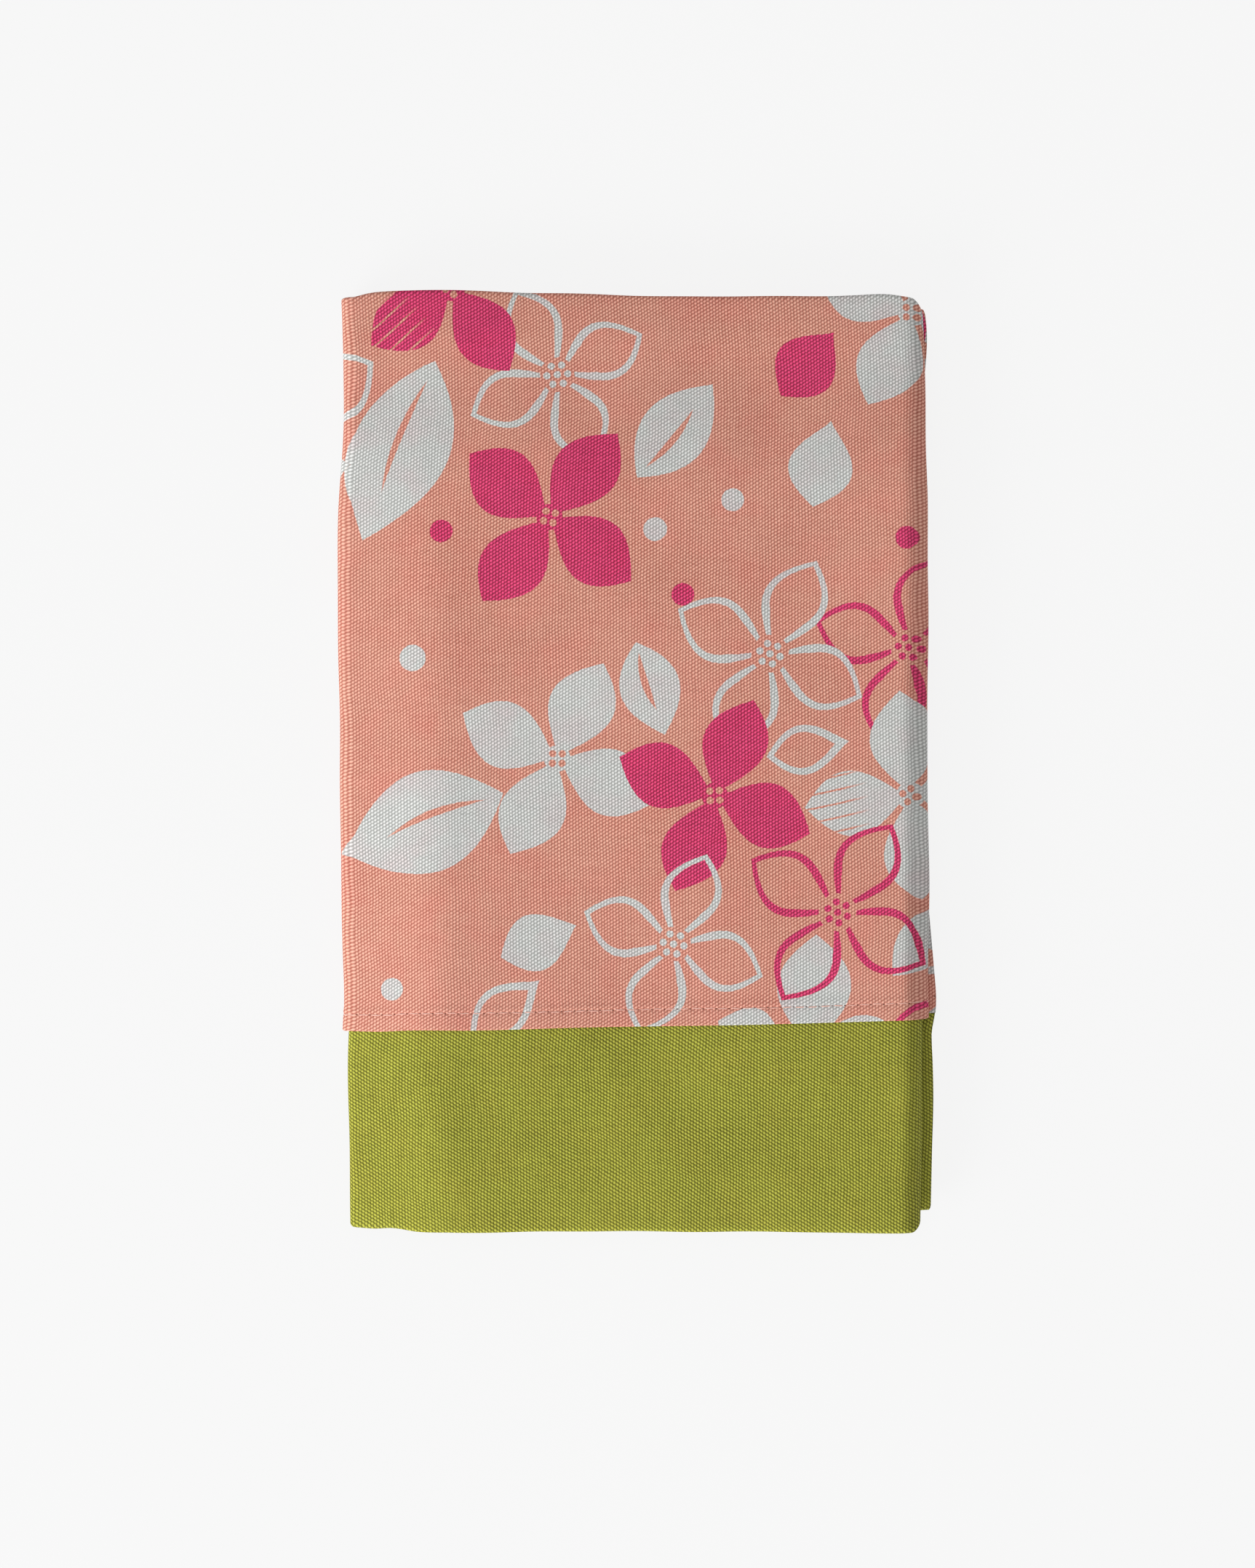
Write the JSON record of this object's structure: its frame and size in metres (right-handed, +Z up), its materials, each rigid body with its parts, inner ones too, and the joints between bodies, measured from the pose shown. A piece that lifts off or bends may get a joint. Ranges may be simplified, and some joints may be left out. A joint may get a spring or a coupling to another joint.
{
  "type": "folded furoshiki",
  "caption": "Square cotton wrapping cloth folded into a flat oblong, printed side out over a plain reverse, with a stitched hem across the front.",
  "frame": {"origin": "middle of the folded cloth's outline, on the surface that it lies on", "axes": "+Z up, out of the folded front; +Y towards the top fold; +X to the right of someone who reads the front"},
  "size_m": [0.1272, 0.2014, 0.0142],
  "materials": {
    "printed_cotton": "matte"
  },
  "bodies": {
    "root": {"cloth": "printed_cotton"}
  },
  "joints": []
}
